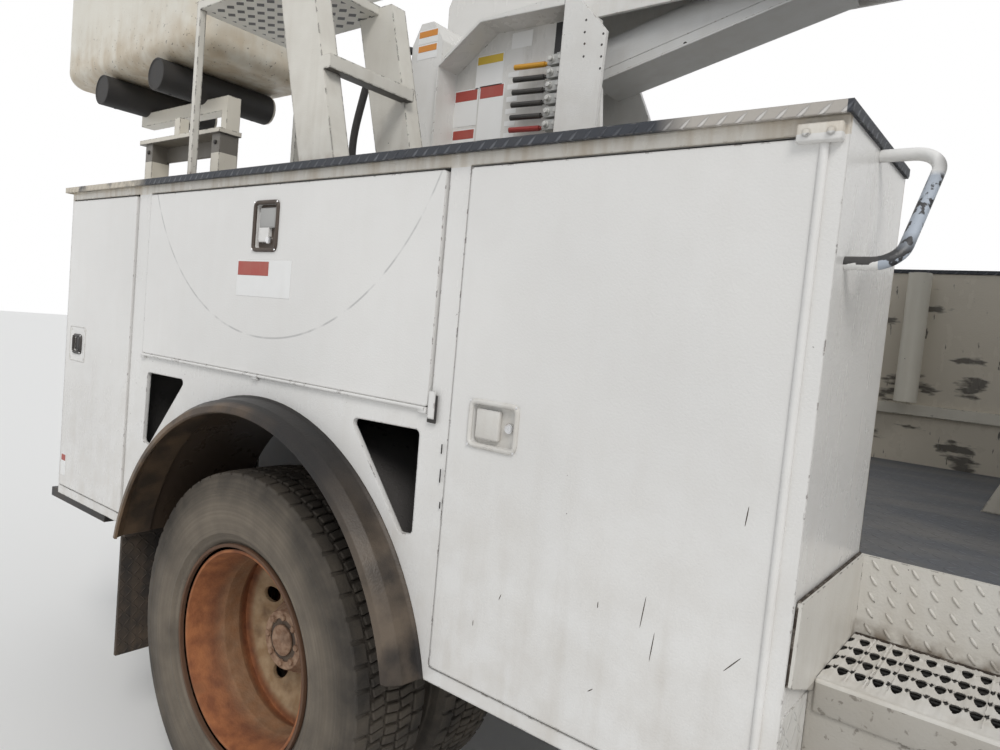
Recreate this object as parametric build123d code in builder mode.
from build123d import *
import math
import os

# A bucket truck: a conventional cab and frame, a service body with side compartments, and a
# two-section folding boom on a turning turret, with the bucket stowed over the tail.
# Millimetres. +X points to the front bumper, +Y to the street side, and the wheels stand on z = 0.
# Lengths along the truck are written as stations, counted forward from the rear axle.
os.makedirs("parts", exist_ok=True)

REAR_AXLE_X = -1271
WHEELBASE = 3960
CURB = -1
STREET = 1
SIDES = {"curb": CURB, "street": STREET}


def station(length):
    """X of a place that lies the given length ahead of the rear axle."""
    return REAR_AXLE_X + length


def along(rear, front):
    """The X range between two stations."""
    return station(rear), station(front)


def span(side, inner, outer):
    """The Y range between two distances from the centre line, on the given side."""
    return tuple(sorted((side * inner, side * outer)))


def across(half):
    """The Y range that reaches the given distance to both sides of the centre line."""
    return -half, half


def block(x, y, z, mode=Mode.ADD):
    """A box that spans three (low, high) ranges."""
    with Locations(((x[0] + x[1]) / 2, (y[0] + y[1]) / 2, (z[0] + z[1]) / 2)):
        Box(x[1] - x[0], y[1] - y[0], z[1] - z[0], mode=mode)


def rod(start, end, diameter, mode=Mode.ADD):
    """A round bar between two points."""
    way = Vector(*end) - Vector(*start)
    with BuildSketch(Plane(origin=start, z_dir=way.normalized())) as section:
        Circle(diameter / 2)
    extrude(section.sketch, amount=way.length, mode=mode)


def cross_rod(x, y, z, radius, mode=Mode.ADD):
    """A round bar across the truck, through a Y range."""
    rod((x, y[0], z), (x, y[1], z), 2 * radius, mode=mode)


def profile(points, y, mode=Mode.ADD, corner=0, gap=0):
    """A side view of (station, height) points through a Y range, with round corners and its edge moved in."""
    with BuildSketch(Plane.XZ.offset(-y[1])) as shape:
        Polygon(*[(station(place), height) for place, height in points], align=None)
        if corner:
            fillet(shape.vertices(), corner)
        if gap:
            offset(amount=-gap)
    extrude(shape.sketch, amount=y[1] - y[0], mode=mode)


def bent_bar(points, diameter, bend):
    """A round bar along straight runs with rounded corners."""
    with BuildLine() as path:
        FilletPolyline(*points, radius=bend)
    with BuildSketch(Plane(origin=path.line @ 0, z_dir=path.line % 0)) as section:
        Circle(diameter / 2)
    sweep(section.sketch, path=path.line)


def finish(part, name):
    """Names a finished piece and writes its file."""
    part.part.label = name
    export_step(part.part, f"parts/{name}.step")


# Frame

RAIL_OUTER_Y = 432
RAIL_FLANGE = 75
RAIL_STEEL = 9
RAIL_WEB_Y = RAIL_OUTER_Y - RAIL_STEEL
RAIL_Z = (718, 968)
RAIL_X = along(-1440, 4600)
CROSSMEMBER_STATIONS = (-1380, -760, 700, 1500, 2350, 4530)
CROSSMEMBER_Z = (760, 930)
CROSSMEMBER_FLANGE = 50
TAIL_PLATE_X = along(-1480, -1000)
TAIL_PLATE_Z = (632, 666)
TAIL_PLATE_HALF_WIDTH = 1090
HITCH_X = along(-1500, -1480)
HITCH_Z = (560, 790)
HITCH_HALF_WIDTH = 170
HITCH_GUSSET_Y = (120, 132)
HITCH_BOLT_Z = 725
HITCH_BOLT_SPACING = (85.7, 44.5)
HITCH_BOLT_RADIUS = 6.75

with BuildPart() as frame_rails:
    for side in SIDES.values():
        web = span(side, RAIL_WEB_Y, RAIL_OUTER_Y)
        flange = span(side, RAIL_OUTER_Y - RAIL_FLANGE, RAIL_OUTER_Y)
        block(RAIL_X, web, RAIL_Z)
        block(RAIL_X, flange, (RAIL_Z[0], RAIL_Z[0] + RAIL_STEEL))
        block(RAIL_X, flange, (RAIL_Z[1] - RAIL_STEEL, RAIL_Z[1]))
        for hanger in (TAIL_PLATE_X[0] + 40, TAIL_PLATE_X[1] - 60):
            block((hanger, hanger + 60), web, (TAIL_PLATE_Z[1], RAIL_Z[0]))
        gusset = span(side, *HITCH_GUSSET_Y)
        block((HITCH_X[1], station(CROSSMEMBER_STATIONS[0])), gusset, (TAIL_PLATE_Z[1], HITCH_Z[1]))
    for place in CROSSMEMBER_STATIONS:
        block(along(place - 5, place + 5), across(RAIL_WEB_Y), CROSSMEMBER_Z)
        for level in CROSSMEMBER_Z:
            block(along(place - 5, place + CROSSMEMBER_FLANGE), across(RAIL_WEB_Y), (level - 4, level + 4))
    block(TAIL_PLATE_X, across(TAIL_PLATE_HALF_WIDTH), TAIL_PLATE_Z)
    block(HITCH_X, across(HITCH_HALF_WIDTH), HITCH_Z)
    with BuildSketch(Plane.YZ.offset(HITCH_X[0] - 5)):
        with Locations((0, HITCH_BOLT_Z)):
            with GridLocations(*HITCH_BOLT_SPACING, 2, 2):
                Circle(HITCH_BOLT_RADIUS)
    extrude(amount=30, mode=Mode.SUBTRACT)
finish(frame_rails, "frame_rails")

# Wheels and axles

TYRE_RADIUS = 508
TYRE_HALF_WIDTH = 135
BEAD_RADIUS = 289
OUTER_TWIN_Y = 1048
INNER_TWIN_Y = 728
FRONT_WHEEL_Y = 1020
AXLE_Z = TYRE_RADIUS
FRONT_AXLE_X = station(WHEELBASE)
KINGPIN_Y = 860
KINGPIN_RADIUS = 20
SPINDLE_RADIUS = 30
RUNNING_CLEARANCE = 0.3
AXLE_TUBE_RADIUS = 62
AXLE_END_Y = 1008
SPRING_Y = (462, 538)

# Half of a tyre's section: distance from its middle plane, and radius.
TYRE_SECTION = [(103, BEAD_RADIUS), (103, 308), (124, 336), (TYRE_HALF_WIDTH, 392), (130, 452), (108, 500),
                (92, TYRE_RADIUS)]


def turned(x, points):
    """A ring turned around the axle line from points of (y, radius)."""
    with BuildSketch(Plane.YZ.offset(x)) as section:
        with Locations((0, AXLE_Z)):
            Polygon(*points, align=None)
    revolve(section.sketch, axis=Axis((x, 0, AXLE_Z), (0, 1, 0)))


def tyre(x, y):
    """A tyre around the axle line, turned from half its section and the mirror image of that half."""
    mirrored = [(y - depth, radius) for depth, radius in reversed(TYRE_SECTION)]
    turned(x, [(y + depth, radius) for depth, radius in TYRE_SECTION] + mirrored)


# A deep rim's barrel from its outer flange to its inner one, as (distance in from the flange, radius).
RIM_SECTION = [(0, 305), (12, 305), (12, 288), (60, 278), (120, 262), (170, 262), (222, 287), (222, 305),
               (234, 305)]
RIM_FLANGE_DEPTH = 117
RIM_STEEL = 9
DISC_STEEL = 12
HUB_RADIUS = 112
HUB_FACE_RADIUS = 152
HAND_HOLE_RADIUS = 26
HAND_HOLE_CIRCLE = 196
HAND_HOLES = 5
# Discs as (distance from the centre line at the barrel, radius there, distance at the hub).
OUTER_TWIN_DISC = (960, 273, 902)
INNER_TWIN_DISC = (820, 280, 890)
FRONT_DISC = (1062, 269, 1122)


def rim(x, side, centre_y, disc, bore):
    """A wheel rim: its barrel, and a dished disc with hand holes from the barrel to the hub."""
    flange_y = centre_y + RIM_FLANGE_DEPTH
    shell = [(side * (flange_y - depth), radius) for depth, radius in RIM_SECTION]
    inside = [(side * (flange_y - depth), radius - RIM_STEEL) for depth, radius in reversed(RIM_SECTION)]
    turned(x, shell + inside)
    barrel_y, barrel_radius, hub_y = disc
    dish = [(barrel_y, barrel_radius), (hub_y, HUB_FACE_RADIUS), (hub_y, bore)]
    back = [(y - DISC_STEEL, radius) for y, radius in reversed(dish)]
    turned(x, [(side * y, radius) for y, radius in dish + back])
    with Locations(Plane(origin=(x, side * barrel_y, AXLE_Z), z_dir=(0, 1, 0))):
        with PolarLocations(HAND_HOLE_CIRCLE, HAND_HOLES):
            Cylinder(HAND_HOLE_RADIUS, 160, mode=Mode.SUBTRACT)


# Hub sections from the brake side outward, as (distance from the centre line, radius).
REAR_HUB = [(640, 150), (700, HUB_RADIUS), (960, HUB_RADIUS), (1012, 84)]
FRONT_HUB = [(960, 120), (1010, HUB_RADIUS), (1112, HUB_RADIUS), (1150, 70)]


def hub(x, side, points, bore):
    """A hub around the axle end, turned from its section."""
    section = [(points[0][0], bore), *points, (points[-1][0], bore)]
    turned(x, [(side * y, radius) for y, radius in section])


KNUCKLE_ARM_Z = (AXLE_Z - 76, AXLE_Z + 76)
KNUCKLE_EYE_HALF = 20
KNUCKLE_FACE_Y = (KINGPIN_Y + 58, KINGPIN_Y + 92)
SPINDLE_END_Y = 1140

for label, side in SIDES.items():
    with BuildPart() as twin_tyres:
        tyre(REAR_AXLE_X, side * OUTER_TWIN_Y)
        tyre(REAR_AXLE_X, side * INNER_TWIN_Y)
    finish(twin_tyres, f"rear_tyres_{label}")

    with BuildPart() as twin_rims:
        bore = AXLE_TUBE_RADIUS + RUNNING_CLEARANCE
        rim(REAR_AXLE_X, side, OUTER_TWIN_Y, OUTER_TWIN_DISC, bore)
        rim(REAR_AXLE_X, side, INNER_TWIN_Y, INNER_TWIN_DISC, bore)
        hub(REAR_AXLE_X, side, REAR_HUB, bore)
    finish(twin_rims, f"rear_rims_{label}")

    with BuildPart() as front_tyre:
        tyre(FRONT_AXLE_X, side * FRONT_WHEEL_Y)
    finish(front_tyre, f"front_tyre_{label}")

    with BuildPart() as front_rim:
        bore = SPINDLE_RADIUS + RUNNING_CLEARANCE
        rim(FRONT_AXLE_X, side, FRONT_WHEEL_Y, FRONT_DISC, bore)
        hub(FRONT_AXLE_X, side, FRONT_HUB, bore)
    finish(front_rim, f"front_rim_{label}")

    with BuildPart() as knuckle:
        for level in KNUCKLE_ARM_Z:
            eye = (level - KNUCKLE_EYE_HALF, level + KNUCKLE_EYE_HALF)
            rod((FRONT_AXLE_X, side * KINGPIN_Y, eye[0]), (FRONT_AXLE_X, side * KINGPIN_Y, eye[1]), 100)
            block((FRONT_AXLE_X - 34, FRONT_AXLE_X + 34), span(side, KINGPIN_Y, KNUCKLE_FACE_Y[1] - 8), eye)
        block((FRONT_AXLE_X - 50, FRONT_AXLE_X + 50), span(side, *KNUCKLE_FACE_Y), (AXLE_Z - 96, AXLE_Z + 96))
        rod((FRONT_AXLE_X, side * KINGPIN_Y, AXLE_Z - 90), (FRONT_AXLE_X, side * KINGPIN_Y, AXLE_Z + 90),
            2 * KINGPIN_RADIUS)
        cross_rod(FRONT_AXLE_X, span(side, KNUCKLE_FACE_Y[0], SPINDLE_END_Y), AXLE_Z, SPINDLE_RADIUS)
        # The steering arm reaches back and in from the foot of the knuckle.
        rod((FRONT_AXLE_X - 20, side * (KINGPIN_Y + 60), KNUCKLE_ARM_Z[0]),
            (FRONT_AXLE_X - 190, side * (KINGPIN_Y - 40), KNUCKLE_ARM_Z[0]), 36)
    finish(knuckle, f"knuckle_{label}")

AXLE_BEAM_HALF_DEPTH = 45
AXLE_WEB_HALF_DEPTH = 20
AXLE_EYE_RADIUS = 48
AXLE_EYE_HALF = 54
FRONT_SEAT_Z = 486
# The front axle's drop beam, as (distance from the centre line, height), lower edge and then upper edge.
BEAM_LOWER = [(600, 396), (740, 462), (KINGPIN_Y, 462)]
BEAM_UPPER = [(KINGPIN_Y, 552), (730, 545), (590, 470)]

with BuildPart() as front_axle:
    with BuildSketch(Plane.YZ.offset(FRONT_AXLE_X - AXLE_BEAM_HALF_DEPTH)):
        beam = BEAM_LOWER + BEAM_UPPER
        Polygon(*beam, *[(-y, z) for y, z in reversed(beam)], align=None)
    extrude(amount=2 * AXLE_BEAM_HALF_DEPTH)
    # The web between the beam's two flanges is thinner, so both of its faces are cut back.
    for face in (-1, 1):
        depths = (FRONT_AXLE_X + face * AXLE_WEB_HALF_DEPTH, FRONT_AXLE_X + face * AXLE_BEAM_HALF_DEPTH)
        heights = (BEAM_LOWER[0][1] + 16, BEAM_UPPER[2][1] - 16)
        block(sorted(depths), across(BEAM_UPPER[2][0] - 20), heights, mode=Mode.SUBTRACT)
    for side in SIDES.values():
        eye = (FRONT_AXLE_X, side * KINGPIN_Y)
        rod((*eye, AXLE_Z - AXLE_EYE_HALF), (*eye, AXLE_Z + AXLE_EYE_HALF), 2 * AXLE_EYE_RADIUS)
        bore = 2 * (KINGPIN_RADIUS + RUNNING_CLEARANCE)
        rod((*eye, AXLE_Z - 60), (*eye, AXLE_Z + 60), bore, mode=Mode.SUBTRACT)
        block((FRONT_AXLE_X - 60, FRONT_AXLE_X + 60), span(side, *SPRING_Y), (BEAM_UPPER[2][1], FRONT_SEAT_Z))
finish(front_axle, "front_axle")

DIFFERENTIAL = [(-330, 0), (330, 0), (250, 84), (150, 180), (0, 205), (-150, 180), (-250, 84)]
REAR_SEAT_Z = (AXLE_Z + 30, AXLE_Z + 76)
PINION_X = station(330)
GEARBOX_X = along(2700, 3640)
SHAFT_Z = (AXLE_Z + 6, 700)

with BuildPart() as rear_axle:
    cross_rod(REAR_AXLE_X, across(AXLE_END_Y), AXLE_Z, AXLE_TUBE_RADIUS)
    turned(REAR_AXLE_X, DIFFERENTIAL)
    rod((REAR_AXLE_X, 0, AXLE_Z), (PINION_X, 0, SHAFT_Z[0]), 190)
    rod((PINION_X, 0, SHAFT_Z[0]), (GEARBOX_X[0] - 10, 0, SHAFT_Z[1]), 90)
    for side in SIDES.values():
        block((REAR_AXLE_X - 90, REAR_AXLE_X + 90), span(side, *SPRING_Y), REAR_SEAT_Z)
finish(rear_axle, "rear_axle")

# Leaf packs: station of the middle, height of its underside, half length of the top leaf.
SPRING_PACKS = [(0, REAR_SEAT_Z[1], 690), (WHEELBASE, FRONT_SEAT_Z, 640)]
LEAF_COUNT = 4
LEAF_THICKNESS = 14
LEAF_STEP = 130
LEAF_END_Z = 708
HANGER_HALF = 45
HANGER_Z = (700, 800)

with BuildPart() as leaf_springs:
    for place, base, reach in SPRING_PACKS:
        x = station(place)
        rise = LEAF_END_Z - base - LEAF_COUNT * LEAF_THICKNESS
        radius = (reach ** 2 + rise ** 2) / (2 * rise)
        for side in SIDES.values():
            y = span(side, *SPRING_Y)
            for leaf in range(LEAF_COUNT):
                low = base + leaf * LEAF_THICKNESS
                top = low + LEAF_THICKNESS
                half = reach - (LEAF_COUNT - 1 - leaf) * LEAF_STEP
                lift = radius - math.sqrt(radius ** 2 - half ** 2)
                with BuildSketch(Plane.XZ.offset(-y[1])):
                    with BuildLine():
                        ThreePointArc((x - half, low + lift), (x, low), (x + half, low + lift))
                        Line((x + half, low + lift), (x + half, top + lift))
                        ThreePointArc((x + half, top + lift), (x, top), (x - half, top + lift))
                        Line((x - half, top + lift), (x - half, low + lift))
                    make_face()
                extrude(amount=y[1] - y[0])
            for end in (-1, 1):
                hanger = x + end * (reach - 20)
                hanger_x = (hanger - HANGER_HALF, hanger + HANGER_HALF)
                block(hanger_x, span(side, RAIL_OUTER_Y, SPRING_Y[1]), HANGER_Z)
finish(leaf_springs, "leaf_springs")

ENGINE_X = (GEARBOX_X[1], station(4440))
ENGINE_HALF_WIDTH = 290
ENGINE_Z = (640, 1400)
GEARBOX_HALF_WIDTH = 180
GEARBOX_Z = (610, 940)
ENGINE_MOUNT_X = (ENGINE_X[0] + 330, ENGINE_X[0] + 450)
ENGINE_MOUNT_Z = (820, 900)

with BuildPart() as engine_block:
    block(ENGINE_X, across(ENGINE_HALF_WIDTH), ENGINE_Z)
    block(GEARBOX_X, across(GEARBOX_HALF_WIDTH), GEARBOX_Z)
    for side in SIDES.values():
        block(ENGINE_MOUNT_X, span(side, ENGINE_HALF_WIDTH, RAIL_WEB_Y), ENGINE_MOUNT_Z)
finish(engine_block, "engine_block")

TANK_X = along(2180, 3080)
TANK_CENTRE = (770, 690)
TANK_RADIUS = 285
TANK_STRAPS = (TANK_X[0] + 160, TANK_X[1] - 160)
TANK_STEP_Y = (900, 1060)
TANK_STEP_Z = (420, 446)

with BuildPart() as fuel_tank:
    rod((TANK_X[0], *TANK_CENTRE), (TANK_X[1], *TANK_CENTRE), 2 * TANK_RADIUS)
    for strap in TANK_STRAPS:
        rod((strap - 25, *TANK_CENTRE), (strap + 25, *TANK_CENTRE), 2 * TANK_RADIUS + 12)
        block((strap - 25, strap + 25), (RAIL_OUTER_Y, TANK_CENTRE[0] - 210), (740, 940))
        hanger_y = (TANK_STEP_Y[0] - 20, TANK_STEP_Y[0] + 10)
        block((strap - 20, strap + 20), hanger_y, (TANK_STEP_Z[0] + 10, 560))
    block((TANK_X[0] + 60, TANK_X[1] - 60), TANK_STEP_Y, TANK_STEP_Z)
finish(fuel_tank, "fuel_tank")

BATTERY_X = along(2300, 2900)
BATTERY_Y = (-980, -RAIL_OUTER_Y)
BATTERY_Z = (520, 900)
CAB_STEP_X = (BATTERY_X[0] + 20, BATTERY_X[1] - 20)
CAB_STEP_Y = (-1080, -960)
CAB_STEP_LEVELS = (420, 700)
CAB_STEP_THICKNESS = 24

with BuildPart() as battery_box:
    block(BATTERY_X, BATTERY_Y, BATTERY_Z)
    fillet(battery_box.edges().filter_by(Axis.X), 30)
    for level in CAB_STEP_LEVELS:
        block(CAB_STEP_X, CAB_STEP_Y, (level, level + CAB_STEP_THICKNESS))
    for hanger in (CAB_STEP_X[0] + 20, CAB_STEP_X[1] - 40):
        block((hanger, hanger + 20), (CAB_STEP_Y[0] + 5, CAB_STEP_Y[1] + 5), (CAB_STEP_LEVELS[0] + 10, 720))
finish(battery_box, "battery_box")

# Cab

CAB_BACK = 2130
COWL = 3560
CAB_HALF_WIDTH = 1000
CAB_WALL = 45
# The cab's side view as (station, height), and its front view as (half width, height).
CAB_SIDE = [(CAB_BACK, 1000), (CAB_BACK, 2290), (2260, 2366), (2960, 2378), (3090, 2350), (3440, 1800),
            (COWL, 1740), (COWL, 1000)]
CAB_FRONT = [(CAB_HALF_WIDTH, 1000), (CAB_HALF_WIDTH, 1700), (910, 2280), (760, 2378)]
CAB_CORNER = 60
# The glass lies in the middle of the wall, between these depths.
GLASS_DEPTHS = (18, 26)
WINDSCREEN = [(-830, 1850), (830, 1850), (760, 2290), (-760, 2290)]
REAR_WINDOW_SIZE = (1240, 360)
REAR_WINDOW_Z = 2020
# A cab door and its window, seen from the side.
DOOR_SIDE = [(2460, 1050), (2440, 1740), (2500, 2240), (3030, 2240), (3350, 1790), (3400, 1700), (3400, 1180),
             (3330, 1050)]
DOOR_WINDOW = [(2530, 1790), (2570, 2180), (3000, 2180), (3260, 1790)]
DOOR_CORNER = 40
DOOR_GAP = 6
DOOR_CUT_Y = (820, 1100)
HANDLE_X = along(2490, 2640)
HANDLE_Y = (990, 1022)
HANDLE_Z = (1560, 1596)


def cab_form(inset):
    """The cab's outer form with every face moved in by the inset."""
    profile(CAB_SIDE, across(CAB_HALF_WIDTH), gap=inset)
    with BuildSketch(Plane.YZ.offset(station(CAB_BACK - 50))) as front_view:
        Polygon(*CAB_FRONT, *[(-y, z) for y, z in reversed(CAB_FRONT)], align=None)
        if inset:
            offset(amount=-inset)
    extrude(front_view.sketch, amount=COWL - CAB_BACK + 100, mode=Mode.INTERSECT)


with BuildPart() as cab_inside:
    cab_form(CAB_WALL)

with BuildPart() as cab_walls:
    cab_form(0)
    fillet(cab_walls.edges().filter_by(Axis.Z), CAB_CORNER)
    add(cab_inside.part, mode=Mode.SUBTRACT)

with BuildPart() as glass_back:
    cab_form(GLASS_DEPTHS[1])

with BuildPart() as glass_layer:
    cab_form(GLASS_DEPTHS[0])
    add(glass_back.part, mode=Mode.SUBTRACT)

# Straight runs of the windscreen's and the rear window's outlines along the cab.
with BuildPart() as window_runs:
    with BuildSketch(Plane.YZ.offset(station(3050))) as screen:
        Polygon(*WINDSCREEN, align=None)
        fillet(screen.vertices(), 60)
    extrude(amount=500)
    with BuildSketch(Plane.YZ.offset(station(CAB_BACK - 20))):
        with Locations((0, REAR_WINDOW_Z)):
            RectangleRounded(*REAR_WINDOW_SIZE, 50)
    extrude(amount=90)

with BuildPart() as cab_shell:
    add(cab_walls.part)
    add(window_runs.part, mode=Mode.SUBTRACT)
    for side in SIDES.values():
        profile(DOOR_SIDE, span(side, *DOOR_CUT_Y), mode=Mode.SUBTRACT, corner=DOOR_CORNER)
finish(cab_shell, "cab_shell")

with BuildPart() as cab_glass:
    add(window_runs.part)
    add(glass_layer.part, mode=Mode.INTERSECT)
finish(cab_glass, "cab_glass")

MIRROR_X = along(3240, 3290)
MIRROR_Y = (1130, 1300)
MIRROR_Z = (1760, 2140)
MIRROR_CORNER = 30
MIRROR_ARM_Z = 1650
MIRROR_STEM_Y = (MIRROR_Y[0] + MIRROR_Y[1]) / 2

for label, side in SIDES.items():
    with BuildPart() as cab_door:
        profile(DOOR_SIDE, span(side, *DOOR_CUT_Y), corner=DOOR_CORNER, gap=DOOR_GAP)
        add(cab_walls.part, mode=Mode.INTERSECT)
        profile(DOOR_WINDOW, span(side, *DOOR_CUT_Y), mode=Mode.SUBTRACT, corner=DOOR_CORNER)
        block(HANDLE_X, span(side, *HANDLE_Y), HANDLE_Z)
    finish(cab_door, f"cab_door_{label}")

    with BuildPart() as door_glass:
        profile(DOOR_WINDOW, span(side, *DOOR_CUT_Y), corner=DOOR_CORNER)
        add(glass_layer.part, mode=Mode.INTERSECT)
    finish(door_glass, f"door_glass_{label}")

    with BuildPart() as mirror_piece:
        with BuildSketch(Plane.YZ.offset(MIRROR_X[0])):
            with Locations((side * MIRROR_STEM_Y, (MIRROR_Z[0] + MIRROR_Z[1]) / 2)):
                RectangleRounded(MIRROR_Y[1] - MIRROR_Y[0], MIRROR_Z[1] - MIRROR_Z[0], MIRROR_CORNER)
        extrude(amount=MIRROR_X[1] - MIRROR_X[0])
        stem = (MIRROR_X[0] + MIRROR_X[1]) / 2
        cross_rod(stem, span(side, CAB_HALF_WIDTH + 1, MIRROR_STEM_Y), MIRROR_ARM_Z, 12)
        post = (stem, side * MIRROR_STEM_Y)
        rod((*post, MIRROR_ARM_Z - 30), (*post, MIRROR_Z[0] + 20), 30)
    finish(mirror_piece, f"mirror_{label}")

SEAT_CUSHION_X = along(2420, 2900)
SEAT_BACK_X = along(2330, 2480)
SEAT_Z = (1045, 1330, 1900)
SEAT_BASE = (along(2420, 2800), across(800), (1045, 1180))
# Seats as (middle, width) across the cab.
SEAT_ROW = [(-560, 480), (0, 420), (560, 480)]

with BuildPart() as seats:
    for middle, width in SEAT_ROW:
        y = (middle - width / 2, middle + width / 2)
        block(SEAT_CUSHION_X, y, SEAT_Z[:2])
        block(SEAT_BACK_X, y, SEAT_Z[1:])
    block(*SEAT_BASE)
    fillet(seats.edges().filter_by(Axis.Y), 40)
finish(seats, "seats")

DASH_SIDE = [(3250, 1420), (3500, 1300), (3500, 1700), (3380, 1750), (3230, 1640)]
DASH_HALF_WIDTH = 900
STEERING_CENTRE = (station(3080), 560, 1600)
STEERING_RADII = (215, 190)
SPOKE_WIDTH = 34

with BuildPart() as dashboard:
    profile(DASH_SIDE, across(DASH_HALF_WIDTH), corner=20)
    with BuildSketch(Plane(origin=STEERING_CENTRE, x_dir=(0, 1, 0), z_dir=(-1, 0, 1.4))):
        Circle(STEERING_RADII[0])
        Circle(STEERING_RADII[1], mode=Mode.SUBTRACT)
        for turn in (90, 210, 330):
            with Locations(Rot(0, 0, turn) * Pos(STEERING_RADII[1] / 2 + 5, 0)):
                Rectangle(STEERING_RADII[1] + 10, SPOKE_WIDTH)
        Circle(60)
    extrude(amount=22, both=True)
    rod(STEERING_CENTRE, (station(3330), STEERING_CENTRE[1], 1560), 60)
finish(dashboard, "dashboard")

# Hood, which tilts forward with its wings

HOOD_BACK = 3572
HOOD_FRONT = 4690
HOOD_WALL = 25
FRONT_ARCH_RADIUS = 645
WING_HALF_WIDTH = 1130
HOOD_HALF_WIDTH = 640
HOOD_SIDE = [(HOOD_BACK, 900), (HOOD_BACK, 1720), (4350, 1580), (4590, 1500), (4670, 1400),
             (HOOD_FRONT, 1150), (HOOD_FRONT, 840), (4300, 840)]
WING_SIDE = [(HOOD_BACK, 1010), (HOOD_BACK, 1260), (3700, 1330), (4260, 1310), (4560, 1200), (4660, 1080),
             (HOOD_FRONT, 960), (HOOD_FRONT, 840), (4400, 840)]
# The hood is open below this height and behind, where it meets the cowl.
HOOD_OPEN_Z = 980
GRILLE_HALF_WIDTH = 520
GRILLE_Z = (900, 1380)


def hood_form(inset):
    """The hood over the engine and its two wings, with every face moved in by the inset."""
    profile(HOOD_SIDE, across(HOOD_HALF_WIDTH - inset), gap=inset)
    profile(WING_SIDE, across(WING_HALF_WIDTH - inset), gap=inset)


with BuildPart() as hood_core:
    hood_form(HOOD_WALL)
    front = HOOD_FRONT - HOOD_WALL
    middle_y = across(HOOD_HALF_WIDTH - HOOD_WALL)
    block(along(HOOD_BACK - 60, front), middle_y, (700, HOOD_OPEN_Z))
    block(along(HOOD_BACK - 60, HOOD_BACK + 60), middle_y, (850, 1690 - HOOD_WALL))
    block(along(HOOD_BACK + 100, front), across(WING_HALF_WIDTH - HOOD_WALL), (700, HOOD_OPEN_Z))

with BuildPart() as hood:
    hood_form(0)
    add(hood_core.part, mode=Mode.SUBTRACT)
    for side in SIDES.values():
        cross_rod(FRONT_AXLE_X, span(side, HOOD_HALF_WIDTH, WING_HALF_WIDTH + 20), AXLE_Z, FRONT_ARCH_RADIUS,
                  mode=Mode.SUBTRACT)
    block(along(HOOD_FRONT - 120, HOOD_FRONT + 20), across(GRILLE_HALF_WIDTH), GRILLE_Z, mode=Mode.SUBTRACT)
finish(hood, "hood")

GRILLE_BARS = 9
GRILLE_FACE_X = station(HOOD_FRONT - 26)
GRILLE_HEAD_GAP = 40
GRILLE_SHEET = 12

with BuildPart() as grille:
    block((GRILLE_FACE_X - GRILLE_SHEET, GRILLE_FACE_X), across(GRILLE_HALF_WIDTH),
          (GRILLE_Z[0], GRILLE_Z[1] - GRILLE_HEAD_GAP))
    pitch = (GRILLE_Z[1] - GRILLE_HEAD_GAP - 20 - GRILLE_Z[0]) / GRILLE_BARS
    for bar in range(GRILLE_BARS):
        low = GRILLE_Z[0] + 12 + bar * pitch
        block((GRILLE_FACE_X, GRILLE_FACE_X + 14), across(GRILLE_HALF_WIDTH), (low, low + pitch / 2))
finish(grille, "grille")

LAMP_Y = (700, 960)
LAMP_Z = (880, 950)
LAMP_DEPTH = 12

with BuildPart() as headlamps:
    for side in SIDES.values():
        block(along(HOOD_FRONT, HOOD_FRONT + LAMP_DEPTH), span(side, *LAMP_Y), LAMP_Z)
finish(headlamps, "headlamps")

BUMPER_X = (4720, 4800)
BUMPER_Z = (520, 812)
BUMPER_HALF_WIDTH = 1130
BUMPER_STEEL = 10
BUMPER_CORNER = (60, 160)
BUMPER_BRACKET_Y = (300, RAIL_WEB_Y)
BUMPER_BRACKET_Z = (745, 800)

with BuildPart() as front_bumper:
    for inset, mode in ((0, Mode.ADD), (BUMPER_STEEL, Mode.SUBTRACT)):
        with BuildSketch(Plane.XY.offset(BUMPER_Z[0] + inset)):
            half = BUMPER_HALF_WIDTH - inset
            front = station(BUMPER_X[1]) - inset
            back = station(BUMPER_X[0]) - inset * 6
            edge = [(back, half), (front - BUMPER_CORNER[0], half), (front, half - BUMPER_CORNER[1])]
            Polygon(*edge, *[(x, -y) for x, y in reversed(edge)], align=None)
        extrude(amount=BUMPER_Z[1] - BUMPER_Z[0] - 2 * inset, mode=mode)
    bracket_x = (RAIL_X[1], station(BUMPER_X[1]) - BUMPER_STEEL)
    for side in SIDES.values():
        block(bracket_x, span(side, *BUMPER_BRACKET_Y), BUMPER_BRACKET_Z)
finish(front_bumper, "front_bumper")

# Service body

BODY_REAR = -1147
BODY_FRONT = 1440
STREET_FRONT = 2030
BODY_OUTER_Y = 1195
BODY_INNER_Y = 789
BODY_Z = (727, 1815)
SHEET = 12
SKIN_DEPTH = 20
ARCH_CENTRE = (90, 584)
BODY_ARCH_RADIUS = 645
ARCH_TUB_HALF = 600
ARCH_TUB_TOP = 1075
SHELF_Z = 1247
BULKHEADS = (-620, 712)
DECK_Z = (1095, 1111)

# Compartments as (rear station, front station, floor, roof).
REAR_BAY = (BODY_REAR, BULKHEADS[0], *BODY_Z)
MIDDLE_BAY = (*BULKHEADS, SHELF_Z, BODY_Z[1])
FRONT_BAY = (BULKHEADS[1], BODY_FRONT, *BODY_Z)
FORWARD_BAY = (BODY_FRONT, STREET_FRONT, *BODY_Z)
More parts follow.
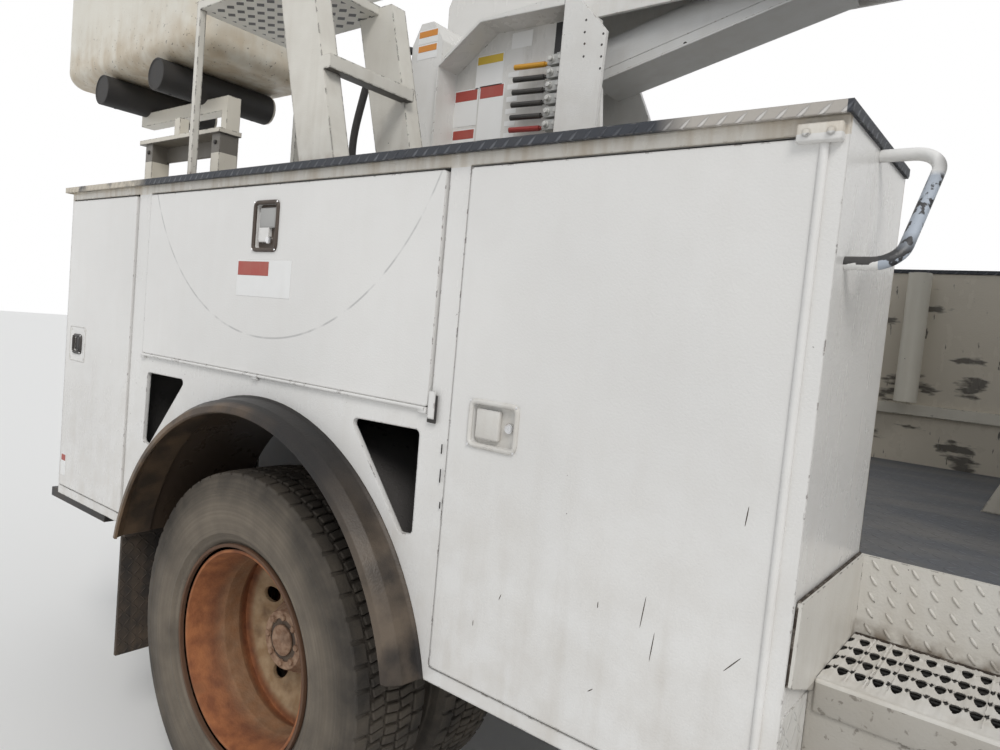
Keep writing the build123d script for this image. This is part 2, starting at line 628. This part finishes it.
# Doors as (name, rear station, front station, sill, head), and latches as (station, height, width, height).
REAR_DOOR = ("rear_door", -1130, -650, 763, 1783)
DROP_DOOR = ("drop_door", -562, 678, 1295, 1783)
FRONT_DOOR = ("front_door", 745, 1404, 763, 1783)
FORWARD_DOOR = ("forward_door", 1480, 1990, 763, 1783)
LATCHES = {"rear_door": (-1036, 1282, 76, 72), "drop_door": (57, 1678, 114, 134),
           "front_door": (856, 1282, 128, 99), "forward_door": (1560, 1282, 128, 99)}
BODY_DOOR_THICKNESS = 25
BODY_DOOR_GAP = 6
BODY_DOOR_CORNER = 8
DOOR_FACE_Y = 1200
LATCH_DEPTH = 14
LATCH_CORNER = 10
PADDLE_HEIGHT = 11
PADDLE_CORNER = 6
# The rounded triangles beside the wheel arch, as (station, height) corners.
CUTOUTS = [[(-528, 1237), (-299, 1239), (-494, 1014), (-534, 1019)],
           [(433, 1238), (658, 1243), (660, 1019), (621, 1013)]]
CUTOUT_CORNER = 12
# Each side's front end, compartments and doors. The curb side stops short for the step into the bed.
BODY_SIDES = [("curb", BODY_FRONT, [REAR_BAY, MIDDLE_BAY, FRONT_BAY], [REAR_DOOR, DROP_DOOR, FRONT_DOOR]),
              ("street", STREET_FRONT, [REAR_BAY, MIDDLE_BAY, FRONT_BAY, FORWARD_BAY],
               [REAR_DOOR, DROP_DOOR, FRONT_DOOR, FORWARD_DOOR])]


def door_panel(side, middle, size, corner, face_y, depth, mode=Mode.ADD):
    """A rounded rectangle on a side of the body, from its outer face inward by the depth."""
    with BuildSketch(Plane.XZ.offset(-side * face_y)) as panel:
        with Locations(middle):
            RectangleRounded(*size, corner)
    extrude(panel.sketch, amount=side * depth, mode=mode)


for label, body_front, bays, doors in BODY_SIDES:
    side = SIDES[label]
    inner_face = BODY_INNER_Y + SHEET
    lining = span(side, inner_face, BODY_OUTER_Y - SHEET)

    # Dark room behind the triangles, between the wheel arch and the middle compartment's floor.
    with BuildPart() as arch_pocket:
        block(along(BULKHEADS[0] + SHEET, BULKHEADS[1] - SHEET), lining, (BODY_Z[0] + SHEET, SHELF_Z))
        cross_rod(station(ARCH_CENTRE[0]), span(side, 700, 1250), ARCH_CENTRE[1], BODY_ARCH_RADIUS + SHEET,
                  mode=Mode.SUBTRACT)

    with BuildPart() as compartments:
        block(along(BODY_REAR, body_front), span(side, BODY_INNER_Y, BODY_OUTER_Y), BODY_Z)
        for bay_rear, bay_front, floor, roof in bays:
            block(along(bay_rear + SHEET, bay_front - SHEET), lining, (floor + SHEET, roof - SHEET),
                  mode=Mode.SUBTRACT)
        add(arch_pocket.part, mode=Mode.SUBTRACT)
        cross_rod(station(ARCH_CENTRE[0]), span(side, inner_face, BODY_OUTER_Y + 5), ARCH_CENTRE[1],
                  BODY_ARCH_RADIUS, mode=Mode.SUBTRACT)
        tub_x = along(ARCH_CENTRE[0] - ARCH_TUB_HALF, ARCH_CENTRE[0] + ARCH_TUB_HALF)
        tub_z = (BODY_Z[0] - 20, ARCH_TUB_TOP)
        block(tub_x, span(side, BODY_INNER_Y - 5, BODY_INNER_Y + 50), tub_z, mode=Mode.SUBTRACT)
        for corners in CUTOUTS:
            profile(corners, span(side, BODY_OUTER_Y - SKIN_DEPTH, BODY_OUTER_Y + 5), mode=Mode.SUBTRACT,
                    corner=CUTOUT_CORNER)
        for name, rear, fore, sill, head in doors:
            block(along(rear - BODY_DOOR_GAP, fore + BODY_DOOR_GAP),
                  span(side, BODY_OUTER_Y - SKIN_DEPTH, BODY_OUTER_Y + 5),
                  (sill - BODY_DOOR_GAP, head + BODY_DOOR_GAP), mode=Mode.SUBTRACT)
    finish(compartments, f"{label}_compartments")

    for name, rear, fore, sill, head in doors:
        latch_place, latch_z, latch_wide, latch_high = LATCHES[name]
        latch = (station(latch_place), latch_z)
        with BuildPart() as body_door:
            middle = ((station(rear) + station(fore)) / 2, (sill + head) / 2)
            panel = (fore - rear, head - sill)
            tray = (latch_wide - 24, latch_high - 20)
            paddle = (latch[0] - latch_wide * 0.12, latch_z)
            paddle_size = (latch_wide * 0.4, latch_high * 0.6)
            door_panel(side, middle, panel, BODY_DOOR_CORNER, DOOR_FACE_Y, BODY_DOOR_THICKNESS)
            door_panel(side, latch, tray, LATCH_CORNER, DOOR_FACE_Y, LATCH_DEPTH, mode=Mode.SUBTRACT)
            door_panel(side, paddle, paddle_size, PADDLE_CORNER, DOOR_FACE_Y - LATCH_DEPTH, -PADDLE_HEIGHT)
        finish(body_door, f"{label}_{name}")

TOP_PLATE_Z = (1815, 1829)
TOP_LIP_Z = (1811, TOP_PLATE_Z[1])
TOP_OVERHANG = 16
TOP_LIP = 5

with BuildPart() as top_plates:
    for label, body_front, bays, doors in BODY_SIDES:
        side = SIDES[label]
        rear, front = along(BODY_REAR - TOP_OVERHANG, body_front + TOP_LIP)
        outer = DOOR_FACE_Y + TOP_OVERHANG
        block((rear, front), span(side, BODY_INNER_Y - 6, outer), TOP_PLATE_Z)
        block((rear, front), span(side, outer - TOP_LIP, outer), TOP_LIP_Z)
        for lip in ((rear, rear + TOP_LIP), (front - TOP_LIP, front)):
            block(lip, span(side, BODY_INNER_Y, outer), TOP_LIP_Z)
finish(top_plates, "top_plates")

SILL_Y = (350, 430)
BED_CROSS_STATIONS = (-1120, -560, 0, 560, 1120, 1980)
BED_CROSS_WIDTH = 50
BED_CROSS_Z = 1040

with BuildPart() as bed_floor:
    block(along(BODY_REAR, STREET_FRONT), across(BODY_INNER_Y), DECK_Z)
    for side in SIDES.values():
        block(along(BODY_REAR, STREET_FRONT), span(side, *SILL_Y), (RAIL_Z[1], DECK_Z[0]))
    for place in BED_CROSS_STATIONS:
        block(along(place, place + BED_CROSS_WIDTH), across(BODY_INNER_Y), (BED_CROSS_Z, DECK_Z[0]))
finish(bed_floor, "bed_floor")

STEP_REAR = BODY_FRONT + 2
STEP_FRONT = STREET_FRONT
STEP_SHEET = 8
STEP_EDGE_Y = 1062
TREAD_Z = (926, 938, 958)
TREAD_ROWS = 5
TREAD_PITCH = 52
TREAD_WIDTH = 34
TREAD_FIRST_Y = 806
# A side wall of the well, as (distance from the centre line, height).
STEP_CHEEK = [(BODY_INNER_Y, BODY_Z[0]), (BODY_INNER_Y, DECK_Z[1]), (1187, DECK_Z[1]), (BODY_OUTER_Y, 985),
              (STEP_EDGE_Y, TREAD_Z[1]), (STEP_EDGE_Y, BODY_Z[0])]

with BuildPart() as side_steps:
    well_x = along(STEP_REAR, STEP_FRONT)
    block(well_x, span(CURB, STEP_EDGE_Y - STEP_SHEET, STEP_EDGE_Y), (BODY_Z[0], TREAD_Z[2]))
    block(well_x, span(CURB, BODY_INNER_Y, BODY_INNER_Y + STEP_SHEET), (BODY_Z[0], DECK_Z[1]))
    for place in (STEP_REAR, STEP_FRONT - STEP_SHEET):
        with BuildSketch(Plane.YZ.offset(station(place))) as cheek:
            Polygon(*[(CURB * y, z) for y, z in STEP_CHEEK], align=None)
        extrude(cheek.sketch, amount=STEP_SHEET)
    block(well_x, span(CURB, BODY_INNER_Y, STEP_EDGE_Y), TREAD_Z[:2])
    for row in range(TREAD_ROWS):
        inner = TREAD_FIRST_Y + row * TREAD_PITCH
        block(along(STEP_REAR + 10, STEP_FRONT - 10), span(CURB, inner, inner + TREAD_WIDTH), TREAD_Z[1:])
finish(side_steps, "side_steps")

FLARE_REACH = 82
# The flare's section as (distance out from the arch radius, distance out from the body side).
FLARE_SECTION = [(-1, -40), (-8, -40), (-9, FLARE_REACH - 36), (-24, FLARE_REACH - 12),
                 (-36, FLARE_REACH - 6), (-32, FLARE_REACH), (-16, FLARE_REACH - 3), (0, FLARE_REACH - 30),
                 (4, 8), (10, 1), (-1, 1)]

with BuildPart() as arch_flares:
    for side in SIDES.values():
        arch_x = station(ARCH_CENTRE[0])
        section = [(BODY_ARCH_RADIUS + rise, side * (BODY_OUTER_Y + reach)) for rise, reach in FLARE_SECTION]
        with BuildSketch(Plane(origin=(arch_x, 0, ARCH_CENTRE[1]), x_dir=(1, 0, 0), z_dir=(0, 0, 1))):
            Polygon(*section, align=None)
        revolve(axis=Axis((arch_x, 0, ARCH_CENTRE[1]), (0, -1, 0)), revolution_arc=180)
    block((arch_x - 800, arch_x + 800), across(DOOR_FACE_Y + 100), (500, BODY_Z[0]), mode=Mode.SUBTRACT)
finish(arch_flares, "arch_flares")

FLAP_X = along(-642, -630)
FLAP_Y = (600, BODY_OUTER_Y)
FLAP_Z = (290, BODY_Z[0])
FLAP_BAR_Z = (690, BODY_Z[0])

with BuildPart() as mud_flaps:
    for side in SIDES.values():
        block(FLAP_X, span(side, *FLAP_Y), FLAP_Z)
        block((FLAP_X[1], FLAP_X[1] + 15), span(side, *FLAP_Y), FLAP_BAR_Z)
finish(mud_flaps, "mud_flaps")

# The curb side's grab handle as (station, Y, height) points, from its upper root round to its lower one.
GRAB_PATH = [(BODY_FRONT, -1006, 1800), (BODY_FRONT + 93, -1006, 1800), (BODY_FRONT + 71, -1144, 1612),
             (BODY_FRONT, -1144, 1612)]
GRAB_BAR = 20
GRAB_BEND = 40
TIE_POST = (1250, 700, 1340, 1806)
TIE_RAIL_X = along(-1000, STREET_FRONT - 10)
TIE_RAIL_Z = (1290, 1330)

# The curb side's bent grab handle, and the lashing post and rail on the street side of the bed.
with BuildPart() as bed_rails:
    bent_bar([(station(place), y, height) for place, y, height in GRAB_PATH], GRAB_BAR, GRAB_BEND)
    post_place, post_y, post_foot, post_head = TIE_POST
    rod((station(post_place), post_y, post_foot), (station(post_place), post_y, post_head), 76)
    for level in (post_foot + 80, post_head - 86):
        block(along(post_place - 20, post_place + 20), (post_y + 30, BODY_INNER_Y), (level, level + 30))
    block(TIE_RAIL_X, (BODY_INNER_Y - 17, BODY_INNER_Y), TIE_RAIL_Z)
finish(bed_rails, "bed_rails")

TAIL_LAMP_Y = (1000, 1120)
TAIL_LAMP_Z = 1080
TAIL_LAMP_DIAMETER = 100
TAIL_LAMP_DEPTH = 18

with BuildPart() as tail_lamps:
    for side in SIDES.values():
        for y in TAIL_LAMP_Y:
            rear, front = along(BODY_REAR - TAIL_LAMP_DEPTH, BODY_REAR)
            rod((front, side * y, TAIL_LAMP_Z), (rear, side * y, TAIL_LAMP_Z), TAIL_LAMP_DIAMETER)
finish(tail_lamps, "tail_lamps")

# Step stand on the curb compartment, and the rests for the bucket and the boom

STAND_LEGS_Y = (-1100, -810)
STAND_FOOT = TOP_PLATE_Z[1]
STAND_TOP = 2400
STAND_LEG = [(46, STAND_FOOT), (192, STAND_FOOT), (25, STAND_TOP - 4), (-121, STAND_TOP - 4)]
STAND_FLANGE = [(180, STAND_FOOT), (192, STAND_FOOT), (25, STAND_TOP - 4), (13, STAND_TOP - 4)]
STAND_LEG_STEEL = 12
STAND_FLANGE_WIDTH = 55
STAND_POST = 20
STAND_POSTS = [(-545, -1100), (-450, -790)]
STAND_RUNG = ((98, 138), (2100, 2136))
STAND_PLATFORM = (along(-545, -30), (-1100, -770), (STAND_TOP - 26, STAND_TOP))

with BuildPart() as step_stand:
    for y in STAND_LEGS_Y:
        profile(STAND_LEG, (y, y + STAND_LEG_STEEL))
        profile(STAND_FLANGE, (y, y + STAND_FLANGE_WIDTH))
    for place, y in STAND_POSTS:
        block(along(place, place + STAND_POST), (y, y + STAND_POST), (STAND_FOOT, STAND_TOP - 24))
    block(along(*STAND_RUNG[0]), (STAND_LEGS_Y[0], STAND_LEGS_Y[1] + STAND_LEG_STEEL), STAND_RUNG[1])
    block(*STAND_PLATFORM)
finish(step_stand, "step_stand")

BUCKET_X = along(-2240, -1020)
BUCKET_Y = (-850, -250)
BUCKET_Z = (2433, 3500)
REST_TUBES = (-1800, -1310)
REST_TUBE_RADIUS = 60
REST_TUBE_Y = (-850, -330)
REST_BAR_Y = (-650, -590)
REST_BAR_Z = (2262, 2320)
REST_POST = (-1147, -1107)
REST_TIE_Z = (1500, 1560)
# The low bridge on the lockers' top plate: its legs' stations, its depth, its heights and its stub.
BRIDGE_LEGS = ((-1060, -1010), (-606, -556))
BRIDGE_Y = (-990, -925)
BRIDGE_Z = (TOP_PLATE_Z[1], 2028, 2044)
BRIDGE_TOP_X = along(-1094, -550)
BRIDGE_APRON = (8, 1972)
BRIDGE_STUB = ((-888, -852), 2112)

with BuildPart() as bucket_rest:
    for place in REST_TUBES:
        cross_rod(station(place), REST_TUBE_Y, BUCKET_Z[0] - 65, REST_TUBE_RADIUS)
    block(along(-1840, -1107), REST_BAR_Y, REST_BAR_Z)
    block(along(*REST_POST), REST_BAR_Y, (DECK_Z[1], REST_BAR_Z[1]))
    block(along(*REST_POST), (-BODY_INNER_Y, REST_BAR_Y[1]), REST_TIE_Z)
    for leg in BRIDGE_LEGS:
        block(along(*leg), BRIDGE_Y, BRIDGE_Z[:2])
    block(BRIDGE_TOP_X, (BRIDGE_Y[0] - 8, BRIDGE_Y[1] + 8), BRIDGE_Z[1:])
    block(along(BRIDGE_LEGS[0][0], BRIDGE_LEGS[1][1]), (BRIDGE_Y[1] - BRIDGE_APRON[0], BRIDGE_Y[1]),
          (BRIDGE_APRON[1], BRIDGE_Z[1]))
    block(along(*BRIDGE_STUB[0]), (BRIDGE_Y[0] + 15, BRIDGE_Y[1] - 15), (BRIDGE_Z[2], BRIDGE_STUB[1]))
finish(bucket_rest, "bucket_rest")

# Aerial device: stations and heights of its pins

TURRET_AXIS = 130
BOOM_PIVOT = (-170, 2780)
CYLINDER_BASE = (120, 2400)
CYLINDER_EYE = (1600, 2746)
ELBOW_PIN = (4450, 3020)
TIP_PIN = (-1600, 3130)
BOOM_PIN_RADIUS = 40
ELBOW_PIN_RADIUS = 35
BASE_PIN_RADIUS = 30
LOWER_BOOM_HALF = 150
LOWER_BOOM_Z = (2555, 2955)
BOOM_STEEL = 12


def on_pin(pin, y, radius, mode=Mode.ADD):
    """A round boss or bore through a Y range, on a cross pin at (station, height)."""
    cross_rod(station(pin[0]), y, pin[1], radius, mode=mode)


PEDESTAL_HALF = 420
PEDESTAL_FOOT_Z = (DECK_Z[1], DECK_Z[1] + 25)
PEDESTAL_Z = (PEDESTAL_FOOT_Z[1], 1700, 1775)
PEDESTAL_RADII = (310, 410)
PEDESTAL_GUSSETS = 8
GUSSET_REACH = 395
GUSSET_TOP = 1500

with BuildPart() as pedestal:
    axis_x = station(TURRET_AXIS)
    block((axis_x - PEDESTAL_HALF, axis_x + PEDESTAL_HALF), across(PEDESTAL_HALF), PEDESTAL_FOOT_Z)
    for radius, foot, top in zip(PEDESTAL_RADII, PEDESTAL_Z, PEDESTAL_Z[1:]):
        rod((axis_x, 0, foot), (axis_x, 0, top), 2 * radius)
    with BuildSketch(Plane.XZ):
        Polygon((PEDESTAL_RADII[0] - 20, PEDESTAL_Z[0]), (GUSSET_REACH, PEDESTAL_Z[0]),
                (PEDESTAL_RADII[0] - 20, GUSSET_TOP), align=None)
    gusset = extrude(amount=8, both=True, mode=Mode.PRIVATE)
    for turn in range(PEDESTAL_GUSSETS):
        add(Pos(axis_x, 0, 0) * Rot(0, 0, turn * 360 / PEDESTAL_GUSSETS) * gusset)
finish(pedestal, "pedestal")

TURNTABLE_Z = (PEDESTAL_Z[2] + 6, 1818)
TURNTABLE_RADIUS = 420
WING_Y = (165, 185)
BAY_Y = (185, 400)
SIDE_PLATE_Y = (185, 380)
# The turret's side wing, its control bay with the bay's hollow, and the rounded plate behind the bay.
WING_OUTLINE = [(-330, TURNTABLE_Z[1]), (-350, 2700), (-260, 2900), (-80, 2900), (10, 2760), (270, 2530),
                (380, 2300), (430, TURNTABLE_Z[1])]
BAY_OUTLINE = [(-176, 1900), (-176, 2385), (10, 2508), (358, 2522), (400, 2516), (520, 2384), (505, 1900)]
BAY_HOLLOW = [(-168, 1908), (-168, 2380), (14, 2500), (358, 2490), (358, 1908)]
BAY_DEPTH = 100
# In front of the bay's own box only a thin post plate stands, in line with the bay's face.
POST_BEHIND = [(366, 1890), (366, 2530), (540, 2530), (540, 1890)]
POST_STEEL = 12
SIDE_PLATE = [(-330, TURNTABLE_Z[1]), (-330, 2480), (-290, 2555), (-230, 2555), (-176, 2480),
              (-176, TURNTABLE_Z[1])]

with BuildPart() as turret:
    rod((axis_x, 0, TURNTABLE_Z[0]), (axis_x, 0, TURNTABLE_Z[1]), 2 * TURNTABLE_RADIUS)
    for side in SIDES.values():
        profile(WING_OUTLINE, span(side, *WING_Y), corner=30)
    block(along(-330, -300), across(WING_Y[0]), (TURNTABLE_Z[1], 2300))
    block(along(400, 430), across(WING_Y[0]), (TURNTABLE_Z[1], 2100))
    profile(BAY_OUTLINE, span(CURB, *BAY_Y))
    profile(BAY_HOLLOW, span(CURB, BAY_Y[1] - BAY_DEPTH, BAY_Y[1] + 5), mode=Mode.SUBTRACT)
    profile(POST_BEHIND, span(CURB, BAY_Y[0], BAY_Y[1] - POST_STEEL), mode=Mode.SUBTRACT)
    profile(SIDE_PLATE, span(CURB, *SIDE_PLATE_Y))
    on_pin(BOOM_PIVOT, across(WING_Y[1]), BOOM_PIN_RADIUS)
    on_pin(CYLINDER_BASE, across(WING_Y[1]), BASE_PIN_RADIUS)
finish(turret, "turret")

LEVER_HEIGHTS = (2346, 2305, 2263, 2222, 2180, 2139)
# A lever from its tip to its valve as (station, Y), and where its thicker grip ends.
LEVER_LINE = [(141, -350), (290, -330)]
GRIP_END = (223, -339)
LEVER_BAR = 12
GRIP_BAR = 18
VALVE_X = along(286, 356)
VALVE_Y = (300, 360)
VALVE_HALF = 16

with BuildPart() as lower_controls:
    block(along(286, 356), span(CURB, VALVE_Y[0], VALVE_Y[0] + 18), (2080, 2385))
    for level in LEVER_HEIGHTS:
        block(VALVE_X, span(CURB, *VALVE_Y), (level - VALVE_HALF, level + VALVE_HALF))
        tip, grip_end, root = [(station(place), y, level) for place, y in (LEVER_LINE[0], GRIP_END, LEVER_LINE[1])]
        rod(tip, root, LEVER_BAR)
        rod(tip, grip_end, GRIP_BAR)
finish(lower_controls, "lower_controls")

CYLINDER_SLOPE = math.atan2(CYLINDER_EYE[1] - CYLINDER_BASE[1], CYLINDER_EYE[0] - CYLINDER_BASE[0])
CYLINDER_LENGTH = math.hypot(CYLINDER_EYE[0] - CYLINDER_BASE[0], CYLINDER_EYE[1] - CYLINDER_BASE[1])
BARREL_LENGTH = 1050
BARREL_RADIUS = 82
GLAND_LENGTH = 60
ROD_RADIUS = 40
COVER_SPAN = (150, BARREL_LENGTH - 70)
COVER_HALF_WIDTH = 88
COVER_FOOT = -88
COVER_LIP = (8, 95)
EYE_RADII = (60, 35)


def on_cylinder(length, rise=0):
    """A point the given length along the lift cylinder from its base pin, as (station, height)."""
    return (CYLINDER_BASE[0] + length * math.cos(CYLINDER_SLOPE) - rise * math.sin(CYLINDER_SLOPE),
            CYLINDER_BASE[1] + length * math.sin(CYLINDER_SLOPE) + rise * math.cos(CYLINDER_SLOPE))


def cylinder_bar(start, end, radius, mode=Mode.ADD):
    """A round bar on the lift cylinder's own line."""
    low, high = on_cylinder(start), on_cylinder(end)
    rod((station(low[0]), 0, low[1]), (station(high[0]), 0, high[1]), 2 * radius, mode=mode)


def cylinder_strip(lengths, rises, half_width):
    """A flat strip beside the lift cylinder, between two lengths and two rises off its line."""
    profile([on_cylinder(lengths[0], rises[0]), on_cylinder(lengths[1], rises[0]),
             on_cylinder(lengths[1], rises[1]), on_cylinder(lengths[0], rises[1])], across(half_width))


with BuildPart() as lift_barrel:
    cylinder_bar(70, BARREL_LENGTH, BARREL_RADIUS)
    cylinder_bar(BARREL_LENGTH - GLAND_LENGTH, BARREL_LENGTH, BARREL_RADIUS + 8)
    on_pin(CYLINDER_BASE, across(60), 62)
    cylinder_strip((0, 120), (-50, 50), 50)
    cylinder_bar(*COVER_SPAN, COVER_HALF_WIDTH)
    cylinder_strip(COVER_SPAN, (COVER_FOOT, 0), COVER_HALF_WIDTH)
    cylinder_strip(COVER_SPAN, (COVER_FOOT, COVER_FOOT + COVER_LIP[0]), COVER_LIP[1])
    on_pin(CYLINDER_BASE, across(70), BASE_PIN_RADIUS + RUNNING_CLEARANCE, mode=Mode.SUBTRACT)
    cylinder_bar(380, BARREL_LENGTH + 5, ROD_RADIUS + RUNNING_CLEARANCE, mode=Mode.SUBTRACT)
finish(lift_barrel, "lift_barrel")

with BuildPart() as lift_rod:
    cylinder_bar(400, CYLINDER_LENGTH - 40, ROD_RADIUS)
    on_pin(CYLINDER_EYE, across(45), EYE_RADII[0])
    on_pin(CYLINDER_EYE, across(50), EYE_RADII[1], mode=Mode.SUBTRACT)
finish(lift_rod, "lift_rod")

BOOM_REAR = -400
BOOM_FRONT = 4300
# The boom is a channel, open below, as far forward as the lift cylinder's eye needs.
CHANNEL_FRONT = 1760
LOWER_BOOM_SIDE = [(-330, 2640), (-240, LOWER_BOOM_Z[0]), (BOOM_FRONT, LOWER_BOOM_Z[0]), (BOOM_FRONT, 2860),
                   (1800, LOWER_BOOM_Z[1]), (-240, LOWER_BOOM_Z[1]), (-330, 2880)]
BOX_CEILING = 2848
EAR_SIDE = [(3950, LOWER_BOOM_Z[0]), (4420, LOWER_BOOM_Z[0]), (4560, 2980), (4540, 3080), (4450, 3120),
            (4360, 3090), (BOOM_FRONT, 2870), (3950, 2870)]
EAR_STEEL = 20
EYE_LUG = (95, 70)
# The shoe under the boom that lies on the boom rest.
SHOE = [(1880, 2426), (2000, 2426), (2080, LOWER_BOOM_Z[0] + 4), (1800, LOWER_BOOM_Z[0] + 4)]
SHOE_HALF_WIDTH = 100

with BuildPart() as lower_boom:
    profile(LOWER_BOOM_SIDE, across(LOWER_BOOM_HALF), corner=20)
    inside = across(LOWER_BOOM_HALF - BOOM_STEEL)
    block(along(BOOM_REAR, BOOM_FRONT - BOOM_STEEL), inside, (LOWER_BOOM_Z[0] + BOOM_STEEL, BOX_CEILING),
          mode=Mode.SUBTRACT)
    block(along(BOOM_REAR, CHANNEL_FRONT), inside, (LOWER_BOOM_Z[0] - 5, LOWER_BOOM_Z[1] - BOOM_STEEL),
          mode=Mode.SUBTRACT)
    for side in SIDES.values():
        profile(EAR_SIDE, span(side, LOWER_BOOM_HALF, LOWER_BOOM_HALF + EAR_STEEL))
        on_pin(CYLINDER_EYE, span(side, EYE_LUG[0], LOWER_BOOM_HALF - BOOM_STEEL), EYE_LUG[1])
    profile(SHOE, across(SHOE_HALF_WIDTH))
    on_pin(BOOM_PIVOT, across(160), 75)
    on_pin(BOOM_PIVOT, across(170), BOOM_PIN_RADIUS + RUNNING_CLEARANCE, mode=Mode.SUBTRACT)
    on_pin(ELBOW_PIN, across(180), ELBOW_PIN_RADIUS + RUNNING_CLEARANCE, mode=Mode.SUBTRACT)
finish(lower_boom, "lower_boom")

# Round housings on the elbow pin's ends, for the cable wheels that keep the bucket level.
HOUSING_Y = (176, 220)
HOUSING_RADIUS = 262
HOUSING_DISH = (228, 10)
HOUSING_HUB = 75

with BuildPart() as elbow_plate:
    on_pin(ELBOW_PIN, across(HOUSING_Y[1]), ELBOW_PIN_RADIUS)
    for side in SIDES.values():
        on_pin(ELBOW_PIN, span(side, *HOUSING_Y), HOUSING_RADIUS)
        dish_radius, dish_depth = HOUSING_DISH
        on_pin(ELBOW_PIN, span(side, HOUSING_Y[1] - dish_depth, HOUSING_Y[1] + 5), dish_radius,
               mode=Mode.SUBTRACT)
        on_pin(ELBOW_PIN, span(side, *HOUSING_Y), HOUSING_HUB)
finish(elbow_plate, "elbow_plate")

UPPER_BOOM_HALF = 120
UPPER_BOOM_Z = (3000, 3260)
UPPER_BOOM_SIDE = [(-1680, 3060), (-1640, UPPER_BOOM_Z[0] + 20), (-900, UPPER_BOOM_Z[0]),
                   (4300, UPPER_BOOM_Z[0]), (4380, 2950), (4450, 2930), (4520, 2950), (4545, 3020),
                   (4500, 3200), (4400, UPPER_BOOM_Z[1]), (-900, UPPER_BOOM_Z[1]), (-1640, 3230),
                   (-1680, 3190)]
UPPER_BOOM_HOLLOW = (along(-1450, 4250), across(UPPER_BOOM_HALF - BOOM_STEEL), (3024, 3230))

with BuildPart() as upper_boom:
    profile(UPPER_BOOM_SIDE, across(UPPER_BOOM_HALF), corner=18)
    block(*UPPER_BOOM_HOLLOW, mode=Mode.SUBTRACT)
    on_pin(ELBOW_PIN, across(144), 80)
    on_pin(ELBOW_PIN, across(150), ELBOW_PIN_RADIUS + RUNNING_CLEARANCE, mode=Mode.SUBTRACT)
    on_pin(TIP_PIN, across(150), BASE_PIN_RADIUS + RUNNING_CLEARANCE, mode=Mode.SUBTRACT)
finish(upper_boom, "upper_boom")

ARM_Y = (BUCKET_Y[1], BUCKET_Y[1] + 20)
ARM_SIDE = [(-1900, 2760), (-1300, 2760), (-1420, 3220), (-1780, 3220)]

with BuildPart() as bucket_arm:
    profile(ARM_SIDE, ARM_Y, corner=30)
    on_pin(TIP_PIN, (ARM_Y[1] - 2, 128), BASE_PIN_RADIUS)
    on_pin(TIP_PIN, (ARM_Y[1] - 2, -128), 70)
    on_pin(TIP_PIN, (128, 150), 60)
finish(bucket_arm, "bucket_arm")

BUCKET_WALL = 9
BUCKET_CORNER = 90
BUCKET_FOOT_ROUND = 70
BUCKET_RIM = (18, 40)
BUCKET_MIDDLE = ((BUCKET_X[0] + BUCKET_X[1]) / 2, (BUCKET_Y[0] + BUCKET_Y[1]) / 2)
BUCKET_SIZE = (BUCKET_X[1] - BUCKET_X[0], BUCKET_Y[1] - BUCKET_Y[0])


def bucket_form(inset, foot, top):
    """The bucket's upright outline between two heights, moved in by the inset."""
    with BuildSketch(Plane.XY.offset(foot)) as outline:
        with Locations(BUCKET_MIDDLE):
            RectangleRounded(BUCKET_SIZE[0] - 2 * inset, BUCKET_SIZE[1] - 2 * inset, BUCKET_CORNER - inset)
    extrude(outline.sketch, amount=top - foot)


with BuildPart() as bucket_inside:
    bucket_form(BUCKET_WALL, BUCKET_Z[0] + BUCKET_WALL, BUCKET_Z[1] + 5)
    fillet(bucket_inside.faces().sort_by(Axis.Z)[0].edges(), BUCKET_FOOT_ROUND - BUCKET_WALL)

with BuildPart() as bucket:
    bucket_form(0, *BUCKET_Z)
    fillet(bucket.faces().sort_by(Axis.Z)[0].edges(), BUCKET_FOOT_ROUND)
    bucket_form(-BUCKET_RIM[0], BUCKET_Z[1] - BUCKET_RIM[1], BUCKET_Z[1])
    add(bucket_inside.part, mode=Mode.SUBTRACT)
finish(bucket, "bucket")

SADDLE_X = (1870, 2010)
SADDLE_HALF_WIDTH = 200
SADDLE_Z = (2370, 2420)
SADDLE_POST = (1905, 1985)
SADDLE_BRACE = [(1570, DECK_Z[1]), (1620, DECK_Z[1]), (1945, 1900), (1905, 1900)]

with BuildPart() as boom_rest:
    block(along(*SADDLE_X), across(SADDLE_HALF_WIDTH), SADDLE_Z)
    block(along(*SADDLE_POST), across(60), (DECK_Z[1], SADDLE_Z[0]))
    profile(SADDLE_BRACE, across(30))
finish(boom_rest, "boom_rest")
